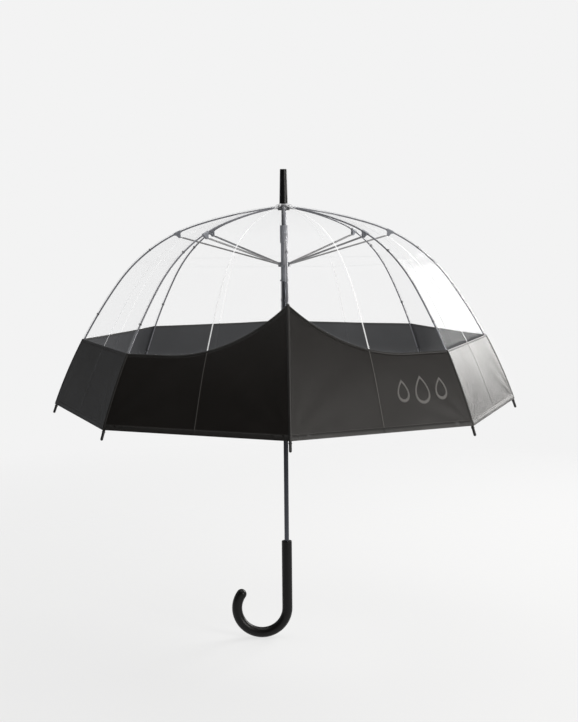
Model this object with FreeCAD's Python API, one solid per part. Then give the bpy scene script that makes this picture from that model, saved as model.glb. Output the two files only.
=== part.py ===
import FreeCAD, Part
import math
import os

# Clear bubble umbrella, open, in millimetres. +Z is up along the shaft. The origin is on the shaft's
# axis, level with the lowest point of the crook. Rib 1 points to -Y, and the rest follow towards +X.

# Driving sizes
rib_count = 8
overall_height = 915.0
pivot_radius = 9.0
joint_arc = 200.0
joint_drop = 8.0

# Ribs: three tangent arcs, each (length, slope at its start, slope at its end) in mm and degrees
rib_arcs = [(156.0, 6.0, 17.0), (196.0, 17.0, 54.0), (280.0, 54.0, 71.0)]
rib_radius = 1.5
rib_eye_radius = 2.2
rib_eye_thickness = 1.6
tip_length = 26.0
tip_radius = 2.4
tip_insert = 18.0
tip_knob_radius = 3.0
tip_knob_width = 2.2
tip_knob_below_hem = 2.0

# Canopy
film_thickness = 0.3
canopy_offset = 3.2
canopy_start_arc = 4.5
hem_gap = 18.0
band_edge_arc = 478.0
peak_height = 86.0
peak_reach = 200.0
seam_gap = 0.4

# Shaft, handle and ferrule
shaft_radius = 4.5
shaft_wall = 0.8
handle_radius = 10.0
handle_length = 194.0
crook_radius = 49.5
crook_sweep = 215.0
ferrule_length = 65.0
ferrule_top_radius = 6.6
ferrule_base_radius = 8.1
ferrule_cap = 6.0
washer_radius = 16.0
washer_height = 3.6
washer_lip = 0.8
washer_rim = 0.6
shaft_end_gap = 1.0
shaft_seat = 5.0
grip_rim_fillet = 1.2
ferrule_rim_fillet = 0.8

# Crown and runner
crown_radius = 11.5
crown_depth = 9.0
crown_top_gap = 3.4
crown_pin_rise = 3.0
ring_wire_radius = 0.6
slot_root_radius = 6.4
rib_slot_clearance = 0.2
runner_tube_radius = 6.2
runner_above = 40.0
runner_below = 32.0
runner_head_above = 4.0
runner_head_below = 4.5
runner_flange_radius = 8.2
runner_flange_height = 2.5
collar_radius = 7.6
collar_length = 34.0
collar_fillet = 1.0

# Stretchers and rib joints
stretcher_width = 3.4
stretcher_height = 2.8
stretcher_wall = 0.5
tab_thickness = 1.8
tab_length = 6.5
tab_overlap = 3.0
tab_inset = 0.6
tab_radius = 2.0
tab_gap = 0.2
clip_length = 14.0
clip_wall = 1.1
clip_shoulder = 1.0
ear_thickness = 1.3
ear_radius = 2.6
joint_pin_radius = 1.0

# Catches and pins
catch_length = 40.0
catch_width = 3.0
catch_thickness = 0.7
catch_set_back = 1.5
catch_nose_height = 22.0
catch_nose_out = 2.6
catch_bend = 6.0
catch_eye_wall = 0.8
pin_radius = 0.8
pin_recess = 0.5
window_gap = 0.4

# Clearances
shaft_clearance = 0.05
pin_clearance = 0.05
eye_clearance = 0.15
rod_clearance = 0.12
stop_gap = 0.4
closed_lean = 6.0

half_gore = math.pi / rib_count
top_z = overall_height - ferrule_length
crown_top_z = top_z - washer_height
pivot_height = crown_top_z - crown_top_gap
rib_length = sum(length for length, start, end in rib_arcs)
hem_arc = rib_length - hem_gap
up = FreeCAD.Vector(0, 0, 1)
tangential = FreeCAD.Vector(0, 1, 0)


def rib_azimuth(number):
    """Angle of rib number 1 to 8 about +Z, in degrees, as a turn of the +X direction."""
    return (number - 1) * 360.0 / rib_count - 90.0


def gore_azimuth(number):
    return rib_azimuth(number) + 180.0 / rib_count


def profile_point(arc_length, offset=0.0):
    """Radius, height and slope of the rib's line at an arc length, moved outwards by offset."""
    radius, height = pivot_radius, pivot_height
    slope = math.radians(rib_arcs[0][1])
    left = arc_length
    for length, start, end in rib_arcs:
        run = min(max(left, 0.0), length)
        bend = length / math.radians(end - start)
        first = math.radians(start)
        slope = first + run / bend
        radius += bend * (math.sin(slope) - math.sin(first))
        height -= bend * (math.cos(first) - math.cos(slope))
        left -= length
        if left <= 0:
            break
    return radius + offset * math.sin(slope), height + offset * math.cos(slope), slope


def profile_vector(arc_length, offset=0.0):
    radius, height, slope = profile_point(arc_length, offset)
    return FreeCAD.Vector(radius, 0, height)


def profile_edges(start, end, offset=0.0):
    """Tangent arcs of the rib's line between two arc lengths."""
    edges = []
    begin = 0.0
    for length, first, last in rib_arcs:
        low, high = max(start, begin), min(end, begin + length)
        if high - low > 1e-6:
            corners = [profile_vector(s, offset) for s in (low, (low + high) / 2, high)]
            edges.append(Part.Arc(*corners).toShape())
        begin += length
    return edges


def turned(shape, azimuth):
    """A copy of a shape made in the XZ plane, turned about the shaft."""
    copy = shape.copy()
    copy.rotate(FreeCAD.Vector(0, 0, 0), up, azimuth)
    return copy


def tube(radius, bore, low, high):
    outer = Part.makeCylinder(radius, high - low, FreeCAD.Vector(0, 0, low))
    inner = Part.makeCylinder(bore, high - low + 2, FreeCAD.Vector(0, 0, low - 1))
    return outer.cut(inner)


def cross_cylinder(radius, length, centre, direction=tangential):
    """A cylinder centred on a point and lying along a direction."""
    base = centre - direction * (length / 2)
    return Part.makeCylinder(radius, length, base, direction)


def save(shape, name):
    if len(shape.Solids) == 1:
        shape = shape.Solids[0]
    shape.exportStep(f"parts/{name}.step")


# Rib joint, stretcher and runner places, which follow from the rib
joint_radius, joint_height, joint_slope = profile_point(joint_arc, -joint_drop)
joint_pivot = FreeCAD.Vector(joint_radius, 0, joint_height)
stretcher_length = math.hypot(joint_radius - pivot_radius, pivot_height - joint_height)
runner_height = pivot_height - 2 * (pivot_height - joint_height)
runner_bottom = runner_height - runner_below
runner_top = runner_height + runner_above
shaft_bottom = crook_radius + handle_radius + shaft_seat
shaft_top = overall_height - ferrule_cap - shaft_end_gap
crown_bottom = crown_top_z - crown_depth
crown_pin_z = crown_bottom + crown_pin_rise
collar_bottom = runner_top + stop_gap
collar_pin_z = collar_bottom + collar_length / 2
top_catch_ledge = runner_bottom - stop_gap
top_catch_pivot = top_catch_ledge - catch_length
closed_span = 2 * stretcher_length * math.cos(math.radians(closed_lean))
runner_travel = closed_span - (pivot_height - runner_height)
bottom_catch_ledge = runner_top - runner_travel + stop_gap
bottom_catch_pivot = bottom_catch_ledge + catch_length


def make_shaft_tube():
    shape = tube(shaft_radius, shaft_radius - shaft_wall, shaft_bottom, shaft_top)
    shape = shape.cut(catch_window(top_catch_ledge, -1))
    shape = shape.cut(catch_window(bottom_catch_ledge, 1))
    return shape.cut(pin_holes())


def catch_window(ledge, side):
    """The slot that a catch's nose comes out of. side is the way from its ledge to its root."""
    height = catch_nose_height + 4 * window_gap
    low = ledge - window_gap * 2 if side > 0 else ledge + window_gap * 2 - height
    width = catch_width + 2 * window_gap
    return Part.makeBox(shaft_radius + 1, width, height, FreeCAD.Vector(0, -width / 2, low))


def between_ribs():
    """The direction, level with the ground, halfway between two ribs."""
    return FreeCAD.Vector(math.cos(half_gore), math.sin(half_gore), 0)


def pin_list():
    """Every pin through the shaft, as (radius, length, centre, direction)."""
    across = 2 * (shaft_radius - pin_recess)
    return [
        (pin_radius, 2 * (crown_radius - pin_recess), FreeCAD.Vector(0, 0, crown_pin_z), between_ribs()),
        (pin_radius, 2 * (collar_radius - pin_recess), FreeCAD.Vector(0, 0, collar_pin_z), between_ribs()),
        (pin_radius, across, FreeCAD.Vector(0, 0, top_catch_pivot), tangential),
        (pin_radius, across, FreeCAD.Vector(0, 0, bottom_catch_pivot), tangential),
    ]


def make_shaft_pins():
    return Part.makeCompound([cross_cylinder(*pin) for pin in pin_list()])


def pin_holes():
    """The pins' holes, a little wider than the pins and open at both ends."""
    beyond = 4 * pin_recess
    holes = [
        cross_cylinder(radius + pin_clearance / 2, length + beyond, centre, direction)
        for radius, length, centre, direction in pin_list()
    ]
    return Part.makeCompound(holes)


def make_handle():
    grip = Part.makeCylinder(
        handle_radius, handle_length - crook_radius - handle_radius,
        FreeCAD.Vector(0, 0, crook_radius + handle_radius))
    rim = [edge for edge in grip.Edges if abs(edge.CenterOfMass.z - handle_length) < 0.01]
    grip = grip.makeFillet(grip_rim_fillet, rim)
    centre = FreeCAD.Vector(-crook_radius, 0, crook_radius + handle_radius)
    section = Part.Face(Part.Wire(Part.makeCircle(
        handle_radius, FreeCAD.Vector(0, 0, centre.z), up)))
    crook = section.revolve(centre, tangential, crook_sweep)
    angle = math.radians(crook_sweep)
    end = centre + FreeCAD.Vector(crook_radius * math.cos(angle), 0, -crook_radius * math.sin(angle))
    ball = Part.makeSphere(handle_radius, end)
    shape = grip.fuse([crook, ball]).removeSplitter()
    bore = Part.makeCylinder(
        shaft_radius + shaft_clearance, handle_length, FreeCAD.Vector(0, 0, shaft_bottom - stop_gap))
    return shape.cut(bore)


def make_ferrule():
    outer = Part.makeCone(
        ferrule_base_radius, ferrule_top_radius, ferrule_length, FreeCAD.Vector(0, 0, top_z))
    rim = [edge for edge in outer.Edges if abs(edge.CenterOfMass.z - overall_height) < 0.01]
    outer = outer.makeFillet(ferrule_rim_fillet, rim)
    bore = Part.makeCylinder(
        shaft_radius + shaft_clearance, ferrule_length - ferrule_cap, FreeCAD.Vector(0, 0, top_z))
    return outer.cut(bore)


def make_canopy_washer():
    """Clear coned washer that seals the canopy's middle under the ferrule."""
    lip = Part.makeCylinder(washer_radius, washer_lip, FreeCAD.Vector(0, 0, crown_top_z))
    cone = Part.makeCone(
        washer_radius, ferrule_base_radius + washer_rim, washer_height - washer_lip,
        FreeCAD.Vector(0, 0, crown_top_z + washer_lip))
    bore = Part.makeCylinder(
        shaft_radius + shaft_clearance, washer_height + 2, FreeCAD.Vector(0, 0, crown_top_z - 1))
    return lip.fuse(cone).removeSplitter().cut(bore)


def slots(width, low, high):
    """Eight radial slots from the slot root outwards, between two heights."""
    slot = Part.makeBox(
        crown_radius, width, high - low, FreeCAD.Vector(slot_root_radius, -width / 2, low))
    return Part.makeCompound([turned(slot, rib_azimuth(k + 1)) for k in range(rib_count)])


def ring_wire(height, clearance=0.0):
    return Part.makeTorus(pivot_radius, ring_wire_radius + clearance, FreeCAD.Vector(0, 0, height))


def make_crown():
    shape = tube(crown_radius, shaft_radius + shaft_clearance, crown_bottom, crown_top_z)
    shape = shape.cut(slots(2 * (rib_radius + rib_slot_clearance), crown_bottom - 1, crown_top_z + 1))
    shape = shape.cut(ring_wire(pivot_height, pin_clearance))
    return shape.cut(pin_holes())


def make_stop_collar():
    bore = shaft_radius + shaft_clearance
    shape = tube(collar_radius, bore, collar_bottom, collar_bottom + collar_length)
    rims = [edge for edge in shape.Edges if edge.BoundBox.XLength > 2 * collar_radius - 0.1
            and edge.BoundBox.ZLength < 0.01]
    return shape.makeFillet(collar_fillet, rims).cut(pin_holes())


def make_runner():
    """Sleeve that slides on the shaft, with a slotted head that holds the stretchers' ring."""
    bore = shaft_radius + shaft_clearance
    sleeve = tube(runner_tube_radius, bore, runner_bottom, runner_top)
    head_low, head_high = runner_height - runner_head_below, runner_height + runner_head_above
    head = tube(crown_radius, bore, head_low, head_high)
    head = head.cut(slots(tab_thickness + 4 * tab_gap, head_low - 1, head_high + 1))
    flange = tube(runner_flange_radius, bore, runner_bottom, runner_bottom + runner_flange_height)
    shape = sleeve.fuse([head, flange]).removeSplitter()
    return shape.cut(ring_wire(runner_height, pin_clearance))


def make_catch(ledge, side):
    """Leaf with a nose. side is -1 where the leaf hangs below its ledge and 1 where it stands above."""
    root = ledge + side * catch_length
    inner = shaft_radius - shaft_wall
    back = inner - catch_set_back - catch_thickness
    nose = shaft_radius + catch_nose_out
    outline = [
        (back, ledge), (nose, ledge), (nose - 0.5, ledge + side * 2),
        (back + catch_thickness, ledge + side * catch_nose_height),
        (back + catch_thickness, root - side * catch_bend), (catch_thickness / 2, root),
        (-catch_thickness / 2, root), (back, root - side * catch_bend),
    ]
    corners = [FreeCAD.Vector(x, -catch_width / 2, z) for x, z in outline]
    face = Part.Face(Part.makePolygon(corners + corners[:1]))
    leaf = face.extrude(FreeCAD.Vector(0, catch_width, 0))
    pivot = FreeCAD.Vector(0, 0, root)
    eye = cross_cylinder(pin_radius + catch_eye_wall, catch_width, pivot)
    hole = cross_cylinder(pin_radius + pin_clearance, catch_width + 2, pivot)
    return leaf.fuse(eye).removeSplitter().cut(hole)


def make_rib():
    """Glass-fibre rod with a pressed eye at the crown's ring."""
    start = rib_eye_radius - ring_wire_radius
    path = Part.Wire(profile_edges(start, rib_length - tip_length + tip_insert))
    base = profile_vector(start)
    slope = profile_point(start)[2]
    along = FreeCAD.Vector(math.cos(slope), 0, -math.sin(slope))
    circle = Part.Wire(Part.makeCircle(rib_radius, base, along))
    rod = path.makePipeShell([circle], True, False)
    pivot = FreeCAD.Vector(pivot_radius, 0, pivot_height)
    eye = cross_cylinder(rib_eye_radius, rib_eye_thickness, pivot)
    hole = cross_cylinder(ring_wire_radius + eye_clearance, rib_eye_thickness + 3, pivot)
    return rod.fuse(eye).cut(hole)


def place_on_rib(shape, arc_length):
    """Moves a shape made along +X at the origin onto the rib's line, with +Z outwards."""
    radius, height, slope = profile_point(arc_length)
    copy = shape.copy()
    copy.rotate(FreeCAD.Vector(0, 0, 0), tangential, math.degrees(slope))
    copy.translate(FreeCAD.Vector(radius, 0, height))
    return copy


def make_rib_joint():
    """Clip on the rod with two ears and the pin that the stretcher turns on."""
    along = FreeCAD.Vector(1, 0, 0)
    origin = FreeCAD.Vector(0, 0, 0)
    outer = rib_radius + rod_clearance + clip_wall
    gap = tab_thickness / 2 + tab_gap
    body = cross_cylinder(outer, clip_length, origin, along)
    root = clip_length / 2 - clip_shoulder
    outline = [(-root, 0), (root, 0), (ear_radius, -joint_drop), (-ear_radius, -joint_drop)]
    for side in (-1, 1):
        low = gap if side > 0 else -gap - ear_thickness
        corners = [FreeCAD.Vector(x, low, z) for x, z in outline]
        plate = Part.Face(Part.makePolygon(corners + corners[:1]))
        plate = plate.extrude(FreeCAD.Vector(0, ear_thickness, 0))
        round_end = Part.makeCylinder(
            ear_radius, ear_thickness, FreeCAD.Vector(0, low, -joint_drop), tangential)
        body = body.fuse([plate, round_end])
    pin = cross_cylinder(joint_pin_radius, 2 * (gap + ear_thickness), FreeCAD.Vector(0, 0, -joint_drop))
    bore = cross_cylinder(rib_radius + rod_clearance, clip_length + 2, origin, along)
    return place_on_rib(body.fuse(pin).removeSplitter().cut(bore), joint_arc)


def make_rib_tip():
    """Cap pushed over the rod's end, with a knob that the canopy's corner is sewn to."""
    along = FreeCAD.Vector(1, 0, 0)
    begin = -tip_insert / 2
    end_x = begin + tip_length - tip_radius
    body = Part.makeCylinder(tip_radius, tip_length - tip_radius, along * begin, along)
    end = Part.makeSphere(tip_radius, along * end_x)
    knob_x = begin + tip_length - hem_gap + tip_knob_below_hem
    knob = Part.makeCylinder(tip_knob_radius, tip_knob_width, along * knob_x, along)
    rims = [edge for edge in knob.Edges if len(edge.Vertexes) == 1]
    knob = knob.makeFillet(tip_knob_width / 3, rims)
    bore = Part.makeCylinder(
        rib_radius + rod_clearance, tip_insert + 2 * rod_clearance, along * begin, along)
    shape = body.fuse([end, knob]).removeSplitter().cut(bore)
    return place_on_rib(shape, rib_length - tip_length + tip_insert / 2)


def make_stretcher():
    """Steel channel with a flattened, pierced tab at each end, made along +X from the runner's ring."""
    length = stretcher_length
    half = stretcher_width / 2
    inner = stretcher_width - 2 * stretcher_wall
    beam = Part.makeBox(
        length - 2 * tab_length, stretcher_width, stretcher_height,
        FreeCAD.Vector(tab_length, -half, -stretcher_height / 2))
    groove = Part.makeBox(
        length, inner, stretcher_height,
        FreeCAD.Vector(0, -inner / 2, -stretcher_height / 2 + stretcher_wall))
    shape = beam.cut(groove)
    reach = tab_length + tab_overlap
    for x, side in ((0.0, 1), (length, -1)):
        centre = FreeCAD.Vector(x, 0, 0)
        low = min(x, x + side * reach)
        tab = Part.makeBox(
            reach, tab_thickness, stretcher_height - tab_inset,
            FreeCAD.Vector(low, -tab_thickness / 2, -stretcher_height / 2))
        shape = shape.fuse([tab, cross_cylinder(tab_radius, tab_thickness, centre)])
    shape = shape.removeSplitter()
    shape = shape.cut(cross_cylinder(ring_wire_radius + eye_clearance, 6, FreeCAD.Vector(0, 0, 0)))
    shape = shape.cut(cross_cylinder(joint_pin_radius + pin_clearance, 6, FreeCAD.Vector(length, 0, 0)))
    rise = math.atan2(joint_height - runner_height, joint_radius - pivot_radius)
    shape.rotate(FreeCAD.Vector(0, 0, 0), tangential, -math.degrees(rise))
    shape.translate(FreeCAD.Vector(pivot_radius, 0, runner_height))
    return shape


def make_gore():
    """One eighth of the canopy: level and straight from rib to rib, curved only down the ribs."""
    low, high = canopy_start_arc, hem_arc
    outer = profile_edges(low, high, canopy_offset + film_thickness)
    inner = profile_edges(low, high, canopy_offset)
    ends = [
        Part.makeLine(profile_vector(s, canopy_offset), profile_vector(s, canopy_offset + film_thickness))
        for s in (low, high)
    ]
    face = Part.Face(Part.Wire(Part.__sortEdges__(outer + inner + ends)))
    squeeze = FreeCAD.Matrix()
    squeeze.A11 = math.cos(half_gore)
    face = face.transformGeometry(squeeze)
    reach = profile_point(rib_length, canopy_offset)[0] * 1.2
    face.translate(FreeCAD.Vector(0, -reach, 0))
    strip = face.extrude(FreeCAD.Vector(0, 2 * reach, 0))
    return strip.common(gore_wedge(reach))


def gore_wedge(reach):
    """The space between two rib planes, less half a seam gap on each side."""
    apex = seam_gap / 2 / math.sin(half_gore)
    side = reach * math.tan(half_gore)
    corners = [
        FreeCAD.Vector(apex, 0, 0),
        FreeCAD.Vector(apex + reach, -side, 0),
        FreeCAD.Vector(apex + reach, side, 0),
    ]
    return Part.Face(Part.makePolygon(corners + corners[:1])).extrude(up * overall_height)


def band_region(peak_side, lowered):
    """The space below the band's top edge. peak_side is -1 or 1 where that edge climbs to the front rib."""
    edge_z = profile_point(band_edge_arc, canopy_offset)[1] - lowered
    reach = profile_point(rib_length)[0]
    if not peak_side:
        return Part.makeBox(reach * 2, reach * 2, edge_z, FreeCAD.Vector(0, -reach, 0))
    rib_y = peak_rib_offset()
    bend = (peak_reach ** 2 + peak_height ** 2) / (2 * peak_height)
    angles = [math.asin(share * peak_reach / bend) for share in (1.0, 0.5, 0.0)]
    arc = [
        FreeCAD.Vector(0, rib_y - peak_reach + bend * math.sin(a), edge_z + bend - bend * math.cos(a))
        for a in angles
    ]
    corners = [
        arc[2], FreeCAD.Vector(0, -reach, edge_z), FreeCAD.Vector(0, -reach, 0),
        FreeCAD.Vector(0, reach, 0), FreeCAD.Vector(0, reach, arc[0].z), arc[0],
    ]
    edges = [Part.Arc(*arc).toShape()]
    edges += [Part.makeLine(a, b) for a, b in zip(corners, corners[1:])]
    shape = Part.Face(Part.Wire(Part.__sortEdges__(edges))).extrude(FreeCAD.Vector(reach * 2, 0, 0))
    if peak_side < 0:
        shape = shape.mirror(FreeCAD.Vector(0, 0, 0), tangential)
    return shape


def peak_rib_offset():
    """How far the front rib is from the middle of its gore, at the top of the peak."""
    edge_z = profile_point(band_edge_arc, canopy_offset)[1] + peak_height
    low, high = 0.0, band_edge_arc
    while high - low > 0.01:
        middle = (low + high) / 2
        if profile_point(middle, canopy_offset)[1] > edge_z:
            low = middle
        else:
            high = middle
    return profile_point(low, canopy_offset)[0] * math.sin(half_gore)


def peak_side_of(number):
    """Which side of a gore meets the front rib's peak, or 0 where its band is level."""
    return {1: -1, rib_count: 1}.get(number, 0)


def main():
    os.makedirs("parts", exist_ok=True)
    save(make_shaft_tube(), "shaft_tube")
    save(make_shaft_pins(), "shaft_pins")
    save(make_handle(), "handle")
    save(make_ferrule(), "ferrule")
    save(make_canopy_washer(), "canopy_washer")
    save(make_crown(), "crown")
    save(ring_wire(pivot_height), "crown_ring")
    save(make_stop_collar(), "stop_collar")
    save(make_runner(), "runner")
    save(ring_wire(runner_height), "runner_ring")
    save(make_catch(top_catch_ledge, -1), "top_catch")
    save(make_catch(bottom_catch_ledge, 1), "bottom_catch")
    by_rib = {
        "rib": make_rib(), "rib_joint": make_rib_joint(),
        "rib_tip": make_rib_tip(), "stretcher": make_stretcher(),
    }
    gore = make_gore()
    for number in range(1, rib_count + 1):
        for name, shape in by_rib.items():
            save(turned(shape, rib_azimuth(number)), f"{name}_{number}")
        side = peak_side_of(number)
        clear = gore.cut(band_region(side, 0.0))
        band = gore.common(band_region(side, seam_gap))
        save(turned(clear, gore_azimuth(number)), f"clear_panel_{number}")
        save(turned(band, gore_azimuth(number)), f"band_panel_{number}")


main()
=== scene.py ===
import bpy
import math
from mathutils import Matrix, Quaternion, Vector


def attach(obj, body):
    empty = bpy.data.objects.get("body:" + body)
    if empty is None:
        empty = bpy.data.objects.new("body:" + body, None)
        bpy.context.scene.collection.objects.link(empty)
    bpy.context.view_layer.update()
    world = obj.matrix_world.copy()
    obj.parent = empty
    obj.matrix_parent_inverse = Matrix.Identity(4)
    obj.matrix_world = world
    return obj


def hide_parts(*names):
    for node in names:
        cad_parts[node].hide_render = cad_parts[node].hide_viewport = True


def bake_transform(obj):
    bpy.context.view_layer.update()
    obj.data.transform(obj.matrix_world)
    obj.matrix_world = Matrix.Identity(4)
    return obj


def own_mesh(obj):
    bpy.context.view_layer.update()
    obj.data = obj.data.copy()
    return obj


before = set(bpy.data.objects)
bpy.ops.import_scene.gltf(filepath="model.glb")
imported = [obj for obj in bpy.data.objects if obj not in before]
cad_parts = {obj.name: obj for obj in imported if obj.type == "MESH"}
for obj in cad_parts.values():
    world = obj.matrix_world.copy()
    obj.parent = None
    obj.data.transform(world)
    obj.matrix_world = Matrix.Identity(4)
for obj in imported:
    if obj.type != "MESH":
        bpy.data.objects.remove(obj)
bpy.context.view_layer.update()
bpy.ops.object.select_all(action="DESELECT")
print("frame loaded:", len(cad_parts), "nodes")

# The rib's line, in metres: tangent arcs of (length, slope at the start, slope at the end)
umbrella = {
    "ribs": 8,
    "pivotRadius": 0.009,
    "pivotHeight": 0.843,
    "arcs": [(0.156, 6.0, 17.0), (0.196, 17.0, 54.0), (0.280, 54.0, 71.0)],
    "filmLift": 0.0035,  # outside of the film over the rib's centre
    "filmStart": 0.0068,
    "bandEdge": 0.478,
    "hem": 0.614,
    "hingeLine": 0.300,  # where the canopy's upper and lower bodies meet
    "peakHeight": 0.086,
    "peakReach": 0.200,
    "bendStart": 0.180,
    "bendEnd": 0.5865,
    "closedWidth": 0.115,  # share of a gore's width that is left when closed
}
halfGore = math.pi / umbrella["ribs"]


def ribPoint(s, lift=0.0):
    # radius, height and slope of the rib's line at arc length s
    radius, height = umbrella["pivotRadius"], umbrella["pivotHeight"]
    left = s
    for length, first, last in umbrella["arcs"]:
        run = min(max(left, 0.0), length)
        bend = length / math.radians(last - first)
        start = math.radians(first)
        slope = start + run / bend
        radius += bend * (math.sin(slope) - math.sin(start))
        height -= bend * (math.cos(start) - math.cos(slope))
        left -= length
        if left <= 0:
            break
    return radius + lift * math.sin(slope), height + lift * math.cos(slope), slope


def ribAzimuth(number):
    return math.radians((number - 1) * 360 / umbrella["ribs"] - 90)


def goreAzimuth(number):
    return ribAzimuth(number) + halfGore


def halfWidth(s):
    # half the straight distance from rib to rib
    return ribPoint(s, umbrella["filmLift"])[0] * math.sin(halfGore)


# Small shapes of the stretched sheet, all in metres
drape = {
    "sag": 0.0022,  # how far the sheet is pulled in between the ribs
    "welt": 0.0005,  # height of the middle seam
    "weltWidth": 0.0016,
    "pullFold": 0.0007,  # folds that run out of the hem's corners
    "pullReach": 0.085,
    "pullCount": 11,
    "pullClear": (0.012, 0.01),  # distances from the rib and from the hem over which the folds set in
    "ripple": 0.0005,
    "rippleClear": 0.02,
}


def onGore(number, t, s, lift=0.0, plain=False):
    # t runs from -1 at the rib before to 1 at the rib after; lift stands off the sheet's outside
    radius, height, slope = ribPoint(s, umbrella["filmLift"] + lift)
    across = t * radius * math.sin(halfGore)
    out = radius * math.cos(halfGore)
    steep = math.atan2(math.tan(slope), math.cos(halfGore))
    if not plain:
        full = math.sin(math.pi * min(s / umbrella["hem"], 1.0)) ** 0.5
        push = -drape["sag"] * (1 - t * t) * full
        push += drape["welt"] * math.exp(-((across / drape["weltWidth"]) ** 2))
        push += pullFolds(t, s)
        out += push * math.sin(steep)
        height += push * math.cos(steep)
    turn = goreAzimuth(number)
    return Vector((
        out * math.cos(turn) - across * math.sin(turn),
        out * math.sin(turn) + across * math.cos(turn),
        height,
    ))


def pullFolds(t, s):
    # folds fan out of each hem corner and die away, and none reaches the rib itself
    width = halfWidth(s)
    side = width * (1 - abs(t))
    up = umbrella["hem"] - s
    away = math.hypot(side, up)
    fan = math.atan2(up, side + 1e-6)
    clearSide, clearUp = drape["pullClear"]
    near = math.exp(-away / drape["pullReach"]) * min(side / clearSide, 1.0) * min(up / clearUp, 1.0)
    fold = drape["pullFold"] * near * math.sin(drape["pullCount"] * fan)
    wave = drape["ripple"] * math.sin(34 * s + 2.1 * t) * math.sin(3.1 * t + 9 * s) * (1 - t * t)
    return fold + wave * min(up / drape["rippleClear"], 1.0)


def bandTop(number, t):
    # arc length of the band's upper edge, which climbs to the front rib on the two front gores
    towards = {1: -1, umbrella["ribs"]: 1}.get(number, 0)
    edge = umbrella["bandEdge"]
    if not towards:
        return edge
    lift, reach, rise = umbrella["filmLift"], umbrella["peakReach"], umbrella["peakHeight"]
    bend = (reach ** 2 + rise ** 2) / (2 * rise)
    edgeHeight = ribPoint(edge, lift)[1]
    peak = solveArc(lambda s: edgeHeight + rise - ribPoint(s, lift)[1])
    ribY = halfWidth(peak)

    def above(s):
        y = towards * t * halfWidth(s)
        along = min(max(y - (ribY - reach), 0.0), reach)
        return edgeHeight + bend - math.sqrt(bend ** 2 - along ** 2) - ribPoint(s, lift)[1]

    return solveArc(above)


def solveArc(above):
    # the arc length where above() turns from negative to positive, in the range the edge can lie in
    low, high = 0.2, 0.6
    for turn in range(30):
        middle = (low + high) / 2
        if above(middle) < 0:
            low = middle
        else:
            high = middle
    return (low + high) / 2


def columns(count):
    # values of t, closer together at the middle seam and at the ribs
    fine = [0.0, 0.004, 0.008, 0.013, 0.02]
    side = [0.955, 0.97, 0.982, 0.991, 1.0]
    rest = [fine[-1] + (side[0] - fine[-1]) * (i / count) for i in range(1, count + 1)]
    half = fine + rest + side[1:]
    return [-t for t in reversed(half[1:])] + half


def meshObject(name, points, faces, smooth=True):
    data = bpy.data.meshes.new(name)
    data.from_pydata([tuple(p) for p in points], [], faces)
    data.update()
    piece = bpy.data.objects.new(name, data)
    bpy.context.scene.collection.objects.link(piece)
    if smooth:
        data.shade_smooth()
    return piece


def setActive(piece):
    bpy.ops.object.select_all(action="DESELECT")
    piece.select_set(True)
    bpy.context.view_layer.objects.active = piece


def applyModifier(piece, kind, **values):
    setActive(piece)
    modifier = piece.modifiers.new(kind.title(), kind)
    for key, value in values.items():
        setattr(modifier, key, value)
    bpy.ops.object.modifier_apply(modifier=modifier.name)


def clothGrid(name, number, top, bottom, rows):
    # a sheet between two arc lengths, with a map in metres and one of distances from its edges
    ts = columns(sheetLook["columns"])
    points, faces, place, edges = [], [], [], []
    for row in range(rows + 1):
        for t in ts:
            first, last = top(t), bottom(t)
            s = first + (last - first) * row / rows
            points.append(onGore(number, t, s))
            place.append((t * halfWidth(s), s))
            edges.append(((1 - abs(t)) * halfWidth(s), umbrella["hem"] - s))
    wide = len(ts)
    for row in range(rows):
        for i in range(wide - 1):
            a = row * wide + i
            faces.append((a, a + wide, a + wide + 1, a + 1))
    piece = meshObject(name, points, faces)
    for mapName, values in (("clothMap", place), ("edgeMap", edges)):
        layer = piece.data.uv_layers.new(name=mapName)
        for loop in piece.data.loops:
            layer.data[loop.index].uv = values[loop.vertex_index]
    return piece


def cutSize(top, bottom, steps=60, rows=8):
    # widest width, length and flat area of a gore's cut
    length, area = 0.0, 0.0
    for i in range(steps):
        t = (i + 0.5) / steps * 2 - 1
        first, last = top(t), bottom(t)
        length = max(length, last - first)
        for j in range(rows):
            s = first + (last - first) * (j + 0.5) / rows
            down = (last - first) / rows
            lean = ribPoint(s)[2]
            down *= math.hypot(math.sin(lean), math.cos(lean) * math.cos(halfGore))
            area += 2 * halfWidth(s) / steps * down
    width = max(2 * halfWidth(top(t)) for t in (-1, 0, 1))
    width = max(width, 2 * halfWidth(bottom(0)))
    return width, length, min(area, width * length)


def foldWith(piece, number, body):
    # a canopy piece turns with its body
    middle = onGore(number, 0.0, umbrella["bandEdge"], 0.0, True)
    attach(piece, body + "_" + str(number))
    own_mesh(piece)


def newGroup(name, inputs, outputs):
    tree = bpy.data.node_groups.new(name, "ShaderNodeTree")
    for label, kind, value in inputs:
        socket = tree.interface.new_socket(label, in_out="INPUT", socket_type="NodeSocket" + kind)
        if value is not None:
            socket.default_value = value
    for label, kind in outputs:
        tree.interface.new_socket(label, in_out="OUTPUT", socket_type="NodeSocket" + kind)
    return tree, tree.nodes.new("NodeGroupInput"), tree.nodes.new("NodeGroupOutput")


def mathNode(tree, operation, first, second=None, clamp=False):
    node = tree.nodes.new("ShaderNodeMath")
    node.operation = operation
    node.use_clamp = clamp
    for i, value in enumerate((first, second)):
        if value is None:
            continue
        if isinstance(value, (int, float)):
            node.inputs[i].default_value = value
        else:
            tree.links.new(value, node.inputs[i])
    return node.outputs[0]


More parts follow.
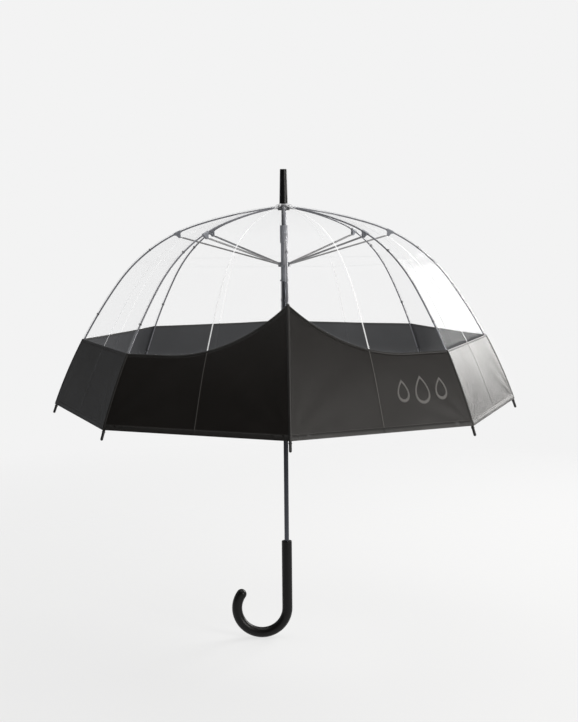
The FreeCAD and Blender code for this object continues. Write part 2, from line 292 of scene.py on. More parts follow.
def noiseNode(tree, vector, scale, detail=3.0, rough=0.5):
    node = tree.nodes.new("ShaderNodeTexNoise")
    node.inputs["Detail"].default_value = detail
    node.inputs["Roughness"].default_value = rough
    if isinstance(scale, (int, float)):
        node.inputs["Scale"].default_value = scale
    else:
        tree.links.new(scale, node.inputs["Scale"])
    tree.links.new(vector, node.inputs["Vector"])
    return node.outputs["Fac"]


def mixColour(tree, factor, first, second):
    node = tree.nodes.new("ShaderNodeMix")
    node.data_type = "RGBA"
    factorSocket, firstSocket, secondSocket = node.inputs[0], node.inputs[6], node.inputs[7]
    for value, socket in ((factor, factorSocket), (first, firstSocket), (second, secondSocket)):
        if isinstance(value, (int, float)):
            socket.default_value = value
        elif isinstance(value, (tuple, list)):
            socket.default_value = (*value, 1.0)
        else:
            tree.links.new(value, socket)
    return node.outputs[2]


def makeFinishGroup():
    # fine grain, broad smudges and rubbed high spots of a hard finish
    tree, given, out = newGroup(
        "hardFinish",
        [
            ("Vector", "Vector", None), ("Colour", "Color", (0.1, 0.1, 0.1, 1)),
            ("Rubbed Colour", "Color", (0.2, 0.2, 0.2, 1)), ("Roughness", "Float", 0.4),
            ("Rough Shift", "Float", 0.1), ("Grain Scale", "Float", 900.0),
            ("Smudge Scale", "Float", 25.0), ("Shade Shift", "Float", 0.2), ("Rub", "Float", 0.1),
        ],
        [("Colour", "Color"), ("Roughness", "Float"), ("Height", "Float")])
    vector = given.outputs["Vector"]
    grain = noiseNode(tree, vector, given.outputs["Grain Scale"], 2.0)
    smudge = noiseNode(tree, vector, given.outputs["Smudge Scale"], 4.0, 0.6)
    centred = mathNode(tree, "SUBTRACT", smudge, 0.5)
    shade = mathNode(tree, "MULTIPLY", centred, given.outputs["Shade Shift"])
    bright = mathNode(tree, "ADD", shade, 1.0)
    scaled = tree.nodes.new("ShaderNodeVectorMath")
    scaled.operation = "SCALE"
    tree.links.new(given.outputs["Colour"], scaled.inputs[0])
    tree.links.new(bright, scaled.inputs["Scale"])
    high = mathNode(tree, "SUBTRACT", mathNode(tree, "ADD", grain, smudge), 1.12)
    rub = mathNode(tree, "MULTIPLY", mathNode(tree, "MULTIPLY", high, 6.0, True), given.outputs["Rub"])
    colour = mixColour(tree, rub, scaled.outputs[0], given.outputs["Rubbed Colour"])
    tree.links.new(colour, out.inputs["Colour"])
    shift = mathNode(tree, "MULTIPLY", centred, given.outputs["Rough Shift"])
    rough = mathNode(tree, "ADD", given.outputs["Roughness"], mathNode(tree, "MULTIPLY", shift, 2.0))
    tree.links.new(rough, out.inputs["Roughness"])
    tree.links.new(grain, out.inputs["Height"])
    return tree


def makeWeaveGroup():
    # plain weave from a map in metres
    tree, given, out = newGroup(
        "plainWeave",
        [("Map", "Vector", None), ("Threads", "Float", 2600.0)],
        [("Height", "Float"), ("Slub", "Float")])
    split = tree.nodes.new("ShaderNodeSeparateXYZ")
    tree.links.new(given.outputs["Map"], split.inputs[0])
    waves = []
    for axis in (0, 1):
        angle = mathNode(tree, "MULTIPLY", split.outputs[axis], given.outputs["Threads"])
        waves.append(mathNode(tree, "SINE", mathNode(tree, "MULTIPLY", angle, math.pi)))
    height = mathNode(tree, "MULTIPLY", waves[0], waves[1])
    tree.links.new(mathNode(tree, "ABSOLUTE", height), out.inputs["Height"])
    stretch = tree.nodes.new("ShaderNodeMapping")
    stretch.inputs["Scale"].default_value = (1.0, 0.06, 1.0)
    tree.links.new(given.outputs["Map"], stretch.inputs["Vector"])
    slub = noiseNode(tree, stretch.outputs[0], 420.0, 3.0, 0.6)
    tree.links.new(slub, out.inputs["Slub"])
    return tree


def makeLineGroup():
    # 1 within half a width of a distance, fading over a soft edge
    tree, given, out = newGroup(
        "lineMask",
        [
            ("Distance", "Float", 0.0), ("Place", "Float", 0.0),
            ("Width", "Float", 0.002), ("Soft", "Float", 0.0005),
        ],
        [("Mask", "Float")])
    apart = mathNode(tree, "SUBTRACT", given.outputs["Distance"], given.outputs["Place"])
    off = mathNode(tree, "ABSOLUTE", apart)
    inside = mathNode(tree, "SUBTRACT", mathNode(tree, "MULTIPLY", given.outputs["Width"], 0.5), off)
    mask = mathNode(tree, "ADD", mathNode(tree, "DIVIDE", inside, given.outputs["Soft"]), 0.5, True)
    tree.links.new(mask, out.inputs["Mask"])
    return tree


finishGroup = makeFinishGroup()
weaveGroup = makeWeaveGroup()
lineGroup = makeLineGroup()


def placeGroup(tree, group, **values):
    node = tree.nodes.new("ShaderNodeGroup")
    node.node_tree = group
    for label, value in values.items():
        socket = node.inputs[label.replace("_", " ")]
        if isinstance(value, bpy.types.NodeSocket):
            tree.links.new(value, socket)
        elif isinstance(value, (tuple, list)):
            socket.default_value = (*value, 1.0)
        else:
            socket.default_value = value
    return node


def startMaterial(name):
    made = bpy.data.materials.new(name)
    made.use_nodes = True
    tree = made.node_tree
    return made, tree, tree.nodes["Principled BSDF"]


def addBump(tree, shader, height, depth, strength=1.0):
    bump = tree.nodes.new("ShaderNodeBump")
    bump.inputs["Distance"].default_value = depth
    bump.inputs["Strength"].default_value = strength
    tree.links.new(height, bump.inputs["Height"])
    tree.links.new(bump.outputs[0], shader.inputs["Normal"])


hardLooks = {
    "handlePlastic": {
        "colour": (0.0025, 0.0022, 0.0021), "rubbed": (0.009, 0.009, 0.009),
        "roughness": 0.40, "roughShift": 0.08,
        "grain": 2600, "smudge": 34, "shade": 0.3, "rub": 0.12, "depth": 0.00004,
        "coat": 0.04, "metal": 0.0, "specular": 0.2},
    "ferrulePlastic": {
        "colour": (0.0022, 0.0020, 0.0020), "rubbed": (0.012, 0.012, 0.012),
        "roughness": 0.38, "roughShift": 0.1,
        "grain": 2400, "smudge": 60, "shade": 0.3, "rub": 0.25, "depth": 0.00004,
        "coat": 0.05, "metal": 0.0, "specular": 0.25},
    "nylonBlack": {
        "colour": (0.006, 0.006, 0.0065), "rubbed": (0.03, 0.03, 0.03), "roughness": 0.5, "roughShift": 0.08,
        "grain": 3000, "smudge": 90, "shade": 0.3, "rub": 0.15, "depth": 0.00003,
        "coat": 0.0, "metal": 0.0, "specular": 0.5},
    "nylonGrey": {
        "colour": (0.2, 0.21, 0.235), "rubbed": (0.34, 0.34, 0.35), "roughness": 0.42, "roughShift": 0.08,
        "grain": 3000, "smudge": 70, "shade": 0.25, "rub": 0.2, "depth": 0.00003,
        "coat": 0.1, "metal": 0.0, "specular": 0.5},
    "shaftLacquer": {
        "colour": (0.05, 0.054, 0.066), "rubbed": (0.14, 0.145, 0.155), "roughness": 0.2, "roughShift": 0.06,
        "grain": 1800, "smudge": 28, "shade": 0.3, "rub": 0.15, "depth": 0.00001,
        "coat": 0.3, "metal": 0.75, "specular": 0.5},
    "stretcherLacquer": {
        "colour": (0.5, 0.5, 0.51), "rubbed": (0.65, 0.65, 0.65), "roughness": 0.34, "roughShift": 0.1,
        "grain": 2200, "smudge": 80, "shade": 0.3, "rub": 0.3, "depth": 0.00002,
        "coat": 0.1, "metal": 0.75, "specular": 0.5},
    "ribFibre": {
        "colour": (0.13, 0.13, 0.15), "rubbed": (0.25, 0.25, 0.26), "roughness": 0.3, "roughShift": 0.08,
        "grain": 2600, "smudge": 45, "shade": 0.35, "rub": 0.2, "depth": 0.00002,
        "coat": 0.25, "metal": 0.0, "specular": 0.5},
    "bareSteel": {
        "colour": (0.52, 0.52, 0.53), "rubbed": (0.7, 0.7, 0.7), "roughness": 0.28, "roughShift": 0.12,
        "grain": 2600, "smudge": 120, "shade": 0.3, "rub": 0.3, "depth": 0.00002,
        "coat": 0.0, "metal": 1.0, "specular": 0.5},
    "threadBlack": {
        "colour": (0.02, 0.019, 0.018), "rubbed": (0.05, 0.05, 0.05), "roughness": 0.85, "roughShift": 0.1,
        "grain": 5200, "smudge": 200, "shade": 0.4, "rub": 0.3, "depth": 0.00006,
        "coat": 0.0, "metal": 0.0, "specular": 0.5},
    "printGrey": {
        "colour": (0.13, 0.125, 0.12), "rubbed": (0.05, 0.048, 0.045), "roughness": 0.6, "roughShift": 0.1,
        "grain": 1500, "smudge": 60, "shade": 0.4, "rub": 0.5, "depth": 0.00003,
        "coat": 0.0, "metal": 0.0, "specular": 0.5},
    "bandTrim": {
        "colour": (0.009, 0.008, 0.007), "rubbed": (0.04, 0.037, 0.034), "roughness": 0.55, "roughShift": 0.1,
        "grain": 1600, "smudge": 30, "shade": 0.4, "rub": 0.3, "depth": 0.00008,
        "coat": 0.0, "metal": 0.0, "specular": 0.5},
}


def makeHard(name):
    look = hardLooks[name]
    made, tree, shader = startMaterial(name)
    place = tree.nodes.new("ShaderNodeTexCoord").outputs["Object"]
    finish = placeGroup(
        tree, finishGroup, Vector=place, Colour=look["colour"], Rubbed_Colour=look["rubbed"],
        Roughness=look["roughness"], Rough_Shift=look["roughShift"], Grain_Scale=look["grain"],
        Smudge_Scale=look["smudge"], Shade_Shift=look["shade"], Rub=look["rub"])
    tree.links.new(finish.outputs["Colour"], shader.inputs["Base Color"])
    tree.links.new(finish.outputs["Roughness"], shader.inputs["Roughness"])
    shader.inputs["Metallic"].default_value = look["metal"]
    shader.inputs["Coat Weight"].default_value = look["coat"]
    shader.inputs["Coat Roughness"].default_value = 0.12
    shader.inputs["Specular IOR Level"].default_value = look["specular"]
    addBump(tree, shader, finish.outputs["Height"], look["depth"])
    return made


def mapSockets(tree, mapName):
    # the map itself, and its two distances
    node = tree.nodes.new("ShaderNodeUVMap")
    node.uv_map = mapName
    split = tree.nodes.new("ShaderNodeSeparateXYZ")
    tree.links.new(node.outputs[0], split.inputs[0])
    return node.outputs[0], split.outputs[0], split.outputs[1]


clothLooks = {
    # a coated cloth: warm black outside, and a cooler, paler coat inside; the seam colour is a painted
    # highlight on the middle crease and the hem's fold
    "bandCloth": {
        "colour": (0.0044, 0.0030, 0.0020), "rubbed": (0.012, 0.0100, 0.0080),
        "slub": (0.0095, 0.0076, 0.0060),
        "seam": (0.11, 0.105, 0.10), "seamWidth": 0.0013, "seamHighlightShare": 0.75, "roughness": 0.47,
        "specular": 0.35, "threads": 2600.0, "depth": 0.00006},
    "bandLining": {
        "colour": (0.0090, 0.0100, 0.0130), "rubbed": (0.020, 0.021, 0.026), "slub": (0.018, 0.019, 0.022),
        "seam": (0.020, 0.021, 0.026), "seamWidth": 0.0016, "seamHighlightShare": 0.5, "roughness": 0.38,
        "specular": 0.5, "threads": 2600.0, "depth": 0.00005},
}


def makeCloth(name):
    look = clothLooks[name]
    made, tree, shader = startMaterial(name)
    place, across = mapSockets(tree, "clothMap")[:2]
    fromHem = mapSockets(tree, "edgeMap")[2]
    weave = placeGroup(tree, weaveGroup, Map=place, Threads=look["threads"])
    spot = tree.nodes.new("ShaderNodeTexCoord").outputs["Object"]
    finish = placeGroup(
        tree, finishGroup, Vector=spot, Colour=look["colour"], Rubbed_Colour=look["rubbed"],
        Roughness=look["roughness"], Rough_Shift=0.1, Grain_Scale=700.0, Smudge_Scale=11.0,
        Shade_Shift=0.5, Rub=0.25)
    # the middle seam's crease and the hem's fold are mixed towards the lighter seam colour: a painted
    # highlight where these ridges catch light
    welt = placeGroup(tree, lineGroup, Distance=across, Place=0.0, Width=look["seamWidth"], Soft=0.0006)
    # the hem's turned edge shows as a fainter light line, a painted highlight along the fold
    fold = placeGroup(tree, lineGroup, Distance=fromHem, Place=0.0095, Width=0.0012, Soft=0.0008)
    faint = mathNode(tree, "MULTIPLY", fold.outputs[0], 0.2)
    highlightLines = mathNode(tree, "MAXIMUM", welt.outputs[0], faint)
    slub = mathNode(tree, "MULTIPLY", weave.outputs["Slub"], 0.4)
    worn = mixColour(tree, slub, finish.outputs["Colour"], look["slub"])
    seamHighlighted = mixColour(tree, mathNode(tree, "MULTIPLY", highlightLines, look["seamHighlightShare"]), worn, look["seam"])
    tree.links.new(seamHighlighted, shader.inputs["Base Color"])
    tree.links.new(finish.outputs["Roughness"], shader.inputs["Roughness"])
    shader.inputs["Specular IOR Level"].default_value = look["specular"]
    raised = mathNode(tree, "MULTIPLY", weave.outputs["Slub"], 0.8)
    height = mathNode(tree, "ADD", weave.outputs["Height"], raised)
    addBump(tree, shader, height, look["depth"], 0.8)
    return made


filmLook = {
    "tint": (0.78, 0.80, 0.84),
    "weldTint": (0.72, 0.74, 0.78),
    "seamTint": (0.7, 0.7, 0.7),
    # shares of cover on one face of the sheet: seen straight on, and added by each feature
    "clear": 0.007,
    "edge": 0.10,
    "weld": 0.08,
    "haze": 0.02,
    "seam": 0.5,
    "weldWidth": 0.007,
    "seamWidth": 0.0022,
    # painted light: how strongly the white seam glows
    "seamPaintedGlow": 0.4,
    "hazeScale": 16.0,
    "waveScale": 38.0,
    "waveDepth": 0.0006,
}


def makeClearFilm():
    # a soft clear sheet with faint haze, a welded edge at each rib and a white seam in the middle that glows
    # with painted light
    look = filmLook
    made, tree, shader = startMaterial("clearFilm")
    place, across = mapSockets(tree, "clothMap")[:2]
    fromRib = mapSockets(tree, "edgeMap")[1]
    weld = placeGroup(
        tree, lineGroup, Distance=fromRib, Place=0.0, Width=look["weldWidth"], Soft=0.0012).outputs[0]
    seam = placeGroup(
        tree, lineGroup, Distance=across, Place=0.0, Width=look["seamWidth"], Soft=0.0006).outputs[0]
    haze = noiseNode(tree, place, look["hazeScale"], 4.0, 0.6)
    cloud = mathNode(tree, "SUBTRACT", haze, 0.45, True)
    facing = tree.nodes.new("ShaderNodeLayerWeight")
    facing.inputs["Blend"].default_value = 0.12
    cover = mathNode(tree, "MULTIPLY", facing.outputs["Facing"], look["edge"])
    for mask, share in ((cloud, look["haze"]), (weld, look["weld"]), (seam, look["seam"])):
        cover = mathNode(tree, "ADD", cover, mathNode(tree, "MULTIPLY", mask, share))
    tree.links.new(mathNode(tree, "ADD", cover, look["clear"], True), shader.inputs["Alpha"])
    tint = mixColour(tree, weld, look["tint"], look["weldTint"])
    tree.links.new(mixColour(tree, seam, tint, look["seamTint"]), shader.inputs["Base Color"])
    # the white seam glows: painted light, an emission in place of light shining through it
    paintedGlow = mixColour(tree, seam, (0.0, 0.0, 0.0), (1.0, 1.0, 1.0))
    tree.links.new(paintedGlow, shader.inputs["Emission Color"])
    shader.inputs["Emission Strength"].default_value = look["seamPaintedGlow"]
    shader.inputs["Roughness"].default_value = 0.07
    shader.inputs["IOR"].default_value = 1.5
    shader.inputs["Specular IOR Level"].default_value = 0.35
    addBump(tree, shader, noiseNode(tree, place, look["waveScale"], 2.0, 0.4), look["waveDepth"], 0.5)
    return made


def makeClearMoulding():
    # a clear moulded part, clouded and see-through
    made, tree, shader = startMaterial("clearMoulding")
    spot = tree.nodes.new("ShaderNodeTexCoord").outputs["Object"]
    cloud = noiseNode(tree, spot, 140.0, 3.0, 0.6)
    alpha = mathNode(tree, "ADD", mathNode(tree, "MULTIPLY", cloud, 0.25), 0.22)
    tree.links.new(alpha, shader.inputs["Alpha"])
    tree.links.new(mixColour(tree, cloud, (0.6, 0.6, 0.62), (0.82, 0.82, 0.84)), shader.inputs["Base Color"])
    shader.inputs["Roughness"].default_value = 0.14
    addBump(tree, shader, cloud, 0.0001, 0.5)
    return made


materials = {name: makeHard(name) for name in hardLooks}
materials.update({name: makeCloth(name) for name in clothLooks})
materials["clearFilm"] = makeClearFilm()
materials["clearMoulding"] = makeClearMoulding()
print("materials made:", len(materials))


nodeFinish = {
    "shaft_tube": "shaftLacquer", "handle": "handlePlastic", "ferrule": "ferrulePlastic",
    "canopy_washer": "clearMoulding", "crown": "nylonBlack", "crown_ring": "bareSteel",
    "stop_collar": "nylonGrey", "shaft_pins": "bareSteel", "runner": "nylonGrey",
    "runner_ring": "bareSteel", "top_catch": "bareSteel", "bottom_catch": "bareSteel",
    "rib_joint": "nylonGrey", "rib_tip": "nylonBlack", "stretcher": "stretcherLacquer",
}


def finishNodes():
    for node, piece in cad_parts.items():
        family = node.rstrip("0123456789").rstrip("_")
        finish = nodeFinish.get(node) or nodeFinish.get(family)
        if finish:
            piece.data.materials.clear()
            piece.data.materials.append(materials[finish])


finishNodes()
print("nodes finished")


rod = {
    "radius": 0.0015,
    "start": 0.0026,
    "end": 0.6245,
    "step": 0.0085,
    "eyeRing": 0.00175,
    "eyeWire": 0.00085,
    # the pressed sleeve by the eye, as (arc length, radius)
    "sleeve": ((0.0024, 0.0010), (0.0032, 0.0017), (0.0048, 0.0021), (0.015, 0.0021), (0.016, 0.0016)),
    "ties": (0.262, 0.421, 0.536),  # where the sheet is tied to the rod
    "tieRadius": 0.0024,
    "tieThread": 0.00038,
    "tieApart": 0.0005,
    "tieLift": 0.0007,
}


def ribVector(s, number, lift=0.0):
    radius, height = ribPoint(s, lift)[:2]
    turn = ribAzimuth(number)
    return Vector((radius * math.cos(turn), radius * math.sin(turn), height))


def tubeAlong(name, places, radii, sides=14):
    # a round tube with rounded ends through places, which lie in one upright plane
    points, faces = [], []
    count = len(places)
    level = (places[-1] - places[0]).cross(Vector((0, 0, 1))).normalized()
    for i, (place, radius) in enumerate(zip(places, radii)):
        along = (places[min(i + 1, count - 1)] - places[max(i - 1, 0)]).normalized()
        up = level.cross(along).normalized()
        for j in range(sides):
            angle = 2 * math.pi * j / sides
            points.append(place + radius * (math.cos(angle) * level + math.sin(angle) * up))
    for i in range(count - 1):
        for j in range(sides):
            a, b = i * sides + j, i * sides + (j + 1) % sides
            faces.append((a, b, b + sides, a + sides))
    faces.append(tuple(reversed(range(sides))))
    faces.append(tuple((count - 1) * sides + j for j in range(sides)))
    return meshObject(name, points, faces)


def addTorus(major, minor, place, rotation):
    bpy.ops.object.select_all(action="DESELECT")
    bpy.ops.mesh.primitive_torus_add(
        major_radius=major, minor_radius=minor, major_segments=24, minor_segments=10,
        location=place, rotation=rotation)
    piece = bpy.context.active_object
    bpy.ops.object.transform_apply(location=True, rotation=True, scale=True)
    bpy.ops.object.shade_smooth()
    return piece


def joinPieces(parts, name):
    bpy.ops.object.select_all(action="DESELECT")
    for part in parts:
        part.select_set(True)
    bpy.context.view_layer.objects.active = parts[0]
    bpy.ops.object.join()
    parts[0].name = name
    return parts[0]


def makeRibRod(number):
    count = int((rod["end"] - rod["start"]) / rod["step"])
    arcs = [rod["start"] + (rod["end"] - rod["start"]) * i / count for i in range(count + 1)]
    places = [ribVector(s, number) for s in arcs]
    line = tubeAlong("ribRod_" + str(number), places, [rod["radius"]] * len(places))
    line.data.materials.append(materials["ribFibre"])
    # pressed steel sleeve with its eye on the crown's ring
    turn = ribAzimuth(number)
    eye = addTorus(
        rod["eyeRing"], rod["eyeWire"], ribVector(0.0, number), (math.pi / 2, 0, turn))
    sleeve = tubeAlong(
        "sleeve", [ribVector(s, number) for s, radius in rod["sleeve"]],
        [radius for s, radius in rod["sleeve"]])
    for part in (eye, sleeve):
        part.data.materials.append(materials["bareSteel"])
    ties = []
    for s in rod["ties"]:
        slope = ribPoint(s)[2]
        for shift in (-rod["tieApart"], rod["tieApart"]):
            tie = addTorus(
                rod["tieRadius"], rod["tieThread"], ribVector(s + shift, number, rod["tieLift"]),
                (0, math.pi / 2 + slope, turn))
            tie.data.materials.append(materials["threadBlack"])
            ties.append(tie)
    piece = joinPieces([line, eye, sleeve] + ties, "ribRod_" + str(number))
    tuple(ribVector(umbrella["bendStart"], number))
    tuple(ribVector(umbrella["bendEnd"], number))
    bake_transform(piece)
    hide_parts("rib_" + str(number))


for number in range(1, umbrella["ribs"] + 1):
    makeRibRod(number)
print("ribs made")


sheetLook = {
    "thickness": 0.0003,
    "columns": 34,
    "topRows": 26,
    "lowRows": 16,
    "bandRows": 22,
    "sewnGap": 0.0006,  # between the film's lower edge and the band's upper one, under the band's edge strip
}


def thicken(piece, thickness, lining=0):
    # lining is how many material slots further the inside face takes its finish from
    applyModifier(
        piece, "SOLIDIFY", thickness=thickness, offset=-1.0, use_even_offset=True, material_offset=lining)
    piece.data.shade_smooth()


def filmStart(t):
    return umbrella["filmStart"]


def hingeLine(t):
    return umbrella["hingeLine"]


def hemLine(t):
    return umbrella["hem"]


def makeFilm(number):
    # the gore's film in two pieces, one for each body of the canopy
    def bandLine(t):
        return bandTop(number, t)

    def filmEnd(t):
        return bandTop(number, t) - sheetLook["sewnGap"]

    upper = clothGrid("filmTop_" + str(number), number, filmStart, hingeLine, sheetLook["topRows"])
    lower = clothGrid("filmLow_" + str(number), number, hingeLine, filmEnd, sheetLook["lowRows"])
    for piece, top, bottom, body in (
        (upper, filmStart, hingeLine, "panel_top"), (lower, hingeLine, bandLine, "panel_low"),
    ):
        piece.data.materials.append(materials["clearFilm"])
        thicken(piece, sheetLook["thickness"])
        foldWith(piece, number, body)
        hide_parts("clear_panel_" + str(number))
        width, length, area = cutSize(top, bottom)


def makeBand(number):
    def bandLine(t):
        return bandTop(number, t)

    piece = clothGrid("band_" + str(number), number, bandLine, hemLine, sheetLook["bandRows"])
    piece.data.materials.append(materials["bandCloth"])
    piece.data.materials.append(materials["bandLining"])
    thicken(piece, sheetLook["thickness"], 1)
    trims = makeBandTrim(number)
    foldWith(piece, number, "panel_low")
    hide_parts("band_panel_" + str(number))
    width, length, area = cutSize(bandLine, hemLine)


trim = {
    "hemWidth": 0.009,
    "hemThick": 0.0003,
    "topWidth": 0.003,
    "topThick": 0.00035,
    "sideWidth": 0.0032,
    "sideRows": 24,
    "columns": 26,
    "smoothAngle": 40.0,
    # the side seam's section, as (share of its width, lift)
    "sideSection": ((0.0, 0.0), (0.0, 0.0007), (0.35, 0.0010), (0.8, 0.0007), (1.0, 0.0), (0.5, -0.0002)),
    "hemStitches": (0.0025, 0.0075),  # rows of stitches above the hem
    "stitch": 0.0026,
    "stitchGap": 0.0012,
    "stitchThread": 0.00022,
    "stitchStart": 0.006,  # from each rib
}


def sweptStrip(name, rings):
    # a closed strip with flat ends through rings of points
    size, last = len(rings[0]), len(rings) - 1
    faces = []
    for i in range(last):
        for j in range(size):
            a, b = i * size + j, i * size + (j + 1) % size
            faces.append((a, a + size, b + size, b))
    faces.append(tuple(range(size)))
    faces.append(tuple(reversed([last * size + j for j in range(size)])))
    piece = meshObject(name, [point for ring in rings for point in ring], faces, False)
    setActive(piece)
    bpy.ops.object.mode_set(mode="EDIT")
    bpy.ops.mesh.select_all(action="SELECT")
    bpy.ops.mesh.normals_make_consistent(inside=False)
    bpy.ops.object.mode_set(mode="OBJECT")
    bpy.ops.object.shade_smooth_by_angle(angle=math.radians(trim["smoothAngle"]))
    piece.data.materials.append(materials["bandTrim"])
    return piece


def edgeStrip(name, number, section, line):
    # a section of (arc length step, lift) pairs, swept across the gore along a line
    rings = []
    for t in columns(trim["columns"]):
        rings.append([onGore(number, t, line(t) + step, lift) for step, lift in section])
    return sweptStrip(name + "_" + str(number), rings)


def makeSideSeam(number, side):
    # seam allowance turned back along a rib
    top, rows = bandTop(number, side), trim["sideRows"]
    rings = []
    for i in range(rows + 1):
        s = top + (umbrella["hem"] - top) * i / rows
        ring = []
        for share, lift in trim["sideSection"]:
            t = side * (1 - share * trim["sideWidth"] / halfWidth(s))
            ring.append(onGore(number, t, s, lift, False))
        rings.append(ring)
    return sweptStrip(("seamAfter_" if side > 0 else "seamBefore_") + str(number), rings)


def stitchPlaces(number, line, lift):
    # both ends of each stitch along a line, each as (point, way out)
    width = halfWidth(line(0))
    pitch = trim["stitch"] + trim["stitchGap"]
    count = int((2 * width - 2 * trim["stitchStart"]) / pitch)
    found = []
    for i in range(count):
        first = -width + trim["stitchStart"] + i * pitch
        ends = []
        for u in (first, first + trim["stitch"]):
            t = u / width
            point = onGore(number, t, line(t), lift + 0.0001)
            ends.append((point, (onGore(number, t, line(t), lift + 0.001) - point).normalized()))
        found.append(ends)
    return found


def stitchRow(name, places):
    # small thread lozenges lying on the cloth
    points, faces = [], []
    half = trim["stitchThread"]
    for begin, end in places:
        along = (end[0] - begin[0]).normalized()
        out = begin[1]
        side = along.cross(out).normalized()
        base = len(points)
        middle = (begin[0] + end[0]) / 2
        points += [begin[0], end[0], middle + side * half * 2, middle + out * half * 2]
        points += [middle - side * half * 2, middle - out * half]
        for j in range(4):
            a, b = base + 2 + j, base + 2 + (j + 1) % 4
            faces += [(base, a, b), (base + 1, b, a)]
    piece = meshObject(name, points, faces)
    piece.data.materials.append(materials["threadBlack"])
    return piece


def makeBandTrim(number):
    # hem, upper edge, side seams and stitches, whose sections wrap round the sheet
    under = -sheetLook["thickness"]
    wide, thick = trim["hemWidth"], trim["hemThick"]
    hemSection = [
        (-wide, 0.0), (-wide + 0.0004, thick), (-0.0006, thick), (0.0004, 0.0),
        (0.0004, under), (-0.0006, under - thick), (-wide + 0.0004, under - thick), (-wide, under),
    ]
    wide, thick = trim["topWidth"], trim["topThick"]
    topSection = [
        (-0.0005, 0.0), (0.0002, thick), (wide, thick), (wide + 0.0004, 0.0),
        (wide, under - trim["hemThick"]), (-0.0002, under - trim["hemThick"]),
    ]

    def bandLine(t):
        return bandTop(number, t)

    parts = [
        edgeStrip("hem", number, hemSection, hemLine), edgeStrip("bandEdge", number, topSection, bandLine),
        makeSideSeam(number, -1), makeSideSeam(number, 1),
    ]
    rows = []
    for above in trim["hemStitches"]:
        rows += stitchPlaces(number, lambda t: umbrella["hem"] - above, trim["hemThick"])
    rows += stitchPlaces(number, lambda t: bandTop(number, t) + trim["topWidth"] * 0.6, trim["topThick"])
    parts.append(stitchRow("stitches_" + str(number), rows))
    for part in parts:
        foldWith(part, number, "panel_low")
    return parts


for number in range(1, umbrella["ribs"] + 1):
    makeFilm(number)
    makeBand(number)
print("canopy made")


drops = {
    "gore": 1,
    "centre": (0.083, 0.545),  # across and arc length of the middle drop
    "spacing": 0.036,
    "radius": 0.01782,  # of the circle that each outline narrows from
    "height": 0.050,
    "sideShare": 0.8,  # size of the outer two drops, as a share of the middle one
    "line": 0.0042,  # width of the printed line
    "lineEnds": 2.6,  # widths of line taken off the height of the hollow inside it
    "lift": 0.00012,
    "thickness": 0.00008,
    "steps": 40,
}


def dropOutline(radius, height):
    # a round drop with its point up: a circle that narrows towards the top
    outline = []
    for i in range(drops["steps"]):
        angle = 2 * math.pi * i / drops["steps"]
        across = radius * math.sin(angle) * math.sin(angle / 2) ** 0.9
        outline.append((across, height / 2 * math.cos(angle)))
    return outline


def makeDrops():
    # three printed drops in a row, each a line round a hollow
    points, faces = [], []
    steps = drops["steps"]
    for place in (-1, 0, 1):
        size = 1.0 if place == 0 else drops["sideShare"]
        radius, height = drops["radius"] * size, drops["height"] * size
        inner = dropOutline(radius - drops["line"], height - drops["lineEnds"] * drops["line"])
        base = len(points)
        for across, up in dropOutline(radius, height) + inner:
            s = drops["centre"][1] - up
            u = drops["centre"][0] + place * drops["spacing"] + across
            points.append(onGore(drops["gore"], u / halfWidth(s), s, drops["lift"]))
        for j in range(steps):
            a, b = base + j, base + (j + 1) % steps
            faces.append((a, a + steps, b + steps, b))
    piece = meshObject("dropPrint", points, faces)
    piece.data.materials.append(materials["printGrey"])
    applyModifier(piece, "SOLIDIFY", thickness=drops["thickness"], offset=0.0)
    foldWith(piece, drops["gore"], "panel_low")


makeDrops()
print("print made")


eye = {
    "distance": 2.4486, "height": 0.82705, "azimuth": 0.91, "yaw": 0.175, "pitch": 6.49, "roll": 0.51,
    "focal": 79.56, "sensor": 36.0, "width": 578, "frameHeight": 722,
}


def makeCamera():
    data = bpy.data.cameras.new("studioCamera")
    # the sensor's width is the frame's long side under an automatic fit
    data.sensor_width = eye["sensor"]
    data.lens = eye["focal"] * eye["width"] / eye["frameHeight"]
    data.sensor_fit = "AUTO"
    data.clip_start = 0.05
    camera = bpy.data.objects.new("studioCamera", data)
    bpy.context.scene.collection.objects.link(camera)
    turn = math.radians(eye["azimuth"])
    camera.location = (-eye["distance"] * math.sin(turn), -eye["distance"] * math.cos(turn), eye["height"])
    heading = -math.radians(eye["azimuth"] + eye["yaw"])
    look = Quaternion((0, 0, 1), heading) @ Quaternion((1, 0, 0), math.radians(90 - eye["pitch"]))
    look = look @ Quaternion((0, 0, 1), -math.radians(eye["roll"]))
    camera.rotation_mode = "QUATERNION"
    camera.rotation_quaternion = look
    bpy.context.scene.camera = camera


studio = {
    "floorRadius": 3.0,
    "floorShade": (0.17, 0.17, 0.17, 1),
    "floorGlow": 0.69,
    "fadeEnd": 2.2,  # distance from the middle at which the floor has faded out
    "fadeLength": 1.6,
    "seen": (0.896, 0.896, 0.896, 1),
    "fill": (1.0, 0.97, 0.93, 1),
    "fillStrength": 0.11,
    "lampTarget": (0, 0, 0.62),
}


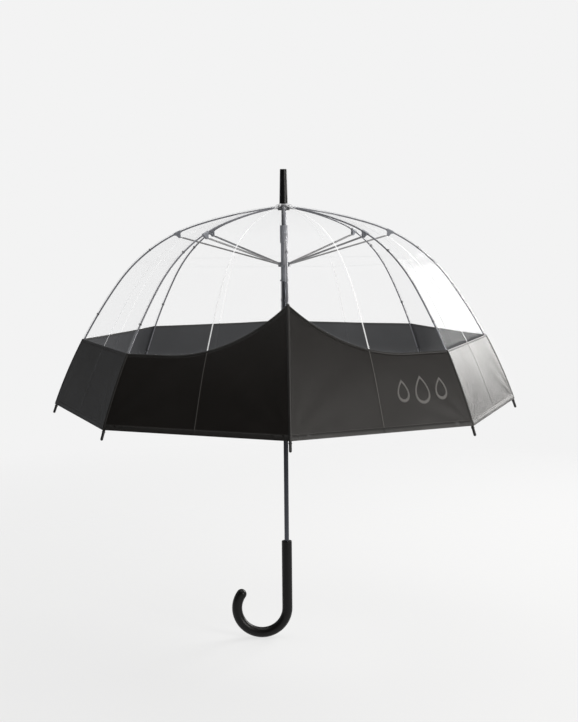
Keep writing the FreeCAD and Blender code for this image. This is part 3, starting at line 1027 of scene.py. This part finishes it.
def makeFloor():
    # a pale disc that fades out into the pale world, so that no horizon shows
    bpy.ops.object.select_all(action="DESELECT")
    bpy.ops.mesh.primitive_circle_add(
        vertices=96, radius=studio["floorRadius"], fill_type="NGON", location=(0, 0, 0))
    floor = bpy.context.active_object
    floor.name = "studioFloor"
    made, tree, shader = startMaterial("studioFloor")
    shader.inputs["Base Color"].default_value = studio["floorShade"]
    shader.inputs["Roughness"].default_value = 0.9
    shader.inputs["Specular IOR Level"].default_value = 0.0
    shader.inputs["Emission Color"].default_value = (1, 1, 1, 1)
    shader.inputs["Emission Strength"].default_value = studio["floorGlow"]
    spot = tree.nodes.new("ShaderNodeTexCoord").outputs["Object"]
    away = tree.nodes.new("ShaderNodeVectorMath")
    away.operation = "LENGTH"
    tree.links.new(spot, away.inputs[0])
    fade = mathNode(tree, "SUBTRACT", studio["fadeEnd"], away.outputs["Value"])
    tree.links.new(mathNode(tree, "DIVIDE", fade, studio["fadeLength"], True), shader.inputs["Alpha"])
    floor.data.materials.append(made)


lamps = [
    # name, place, size, power, colour
    ("keyRight", (1.9, 1.7, 1.5), (1.6, 1.8), 84, (1.0, 0.99, 0.97)),
    ("frontRight", (2.2, -2.0, 1.3), (1.2, 1.6), 63, (1.0, 0.98, 0.95)),
    ("overhead", (0.0, 0.2, 2.6), (2.2, 2.2), 30, (1.0, 1.0, 1.0)),
    ("leftFill", (-2.4, 0.9, 1.2), (0.9, 1.6), 5, (0.88, 0.93, 1.0)),
]


def makeLamps():
    for name, place, size, power, colour in lamps:
        data = bpy.data.lights.new(name, "AREA")
        data.shape = "RECTANGLE"
        data.size, data.size_y = size
        data.energy = power
        data.color = colour
        lamp = bpy.data.objects.new(name, data)
        bpy.context.scene.collection.objects.link(lamp)
        lamp.location = place
        lamp.rotation_mode = "QUATERNION"
        aim = Vector(studio["lampTarget"]) - Vector(place)
        lamp.rotation_quaternion = aim.to_track_quat("-Z", "Y")


def makeWorld():
    # pale to the eye, and a dim soft fill as a light
    world = bpy.data.worlds.new("studioWorld")
    bpy.context.scene.world = world
    world.use_nodes = True
    tree = world.node_tree
    tree.nodes.clear()
    out = tree.nodes.new("ShaderNodeOutputWorld")
    seen = tree.nodes.new("ShaderNodeBackground")
    seen.inputs["Color"].default_value = studio["seen"]
    fill = tree.nodes.new("ShaderNodeBackground")
    fill.inputs["Color"].default_value = studio["fill"]
    fill.inputs["Strength"].default_value = studio["fillStrength"]
    mix = tree.nodes.new("ShaderNodeMixShader")
    path = tree.nodes.new("ShaderNodeLightPath")
    tree.links.new(path.outputs["Is Camera Ray"], mix.inputs[0])
    tree.links.new(fill.outputs[0], mix.inputs[1])
    tree.links.new(seen.outputs[0], mix.inputs[2])
    tree.links.new(mix.outputs[0], out.inputs[0])


makeCamera()
makeFloor()
makeLamps()
makeWorld()
bpy.context.scene.view_settings.view_transform = "Standard"
print("studio made")
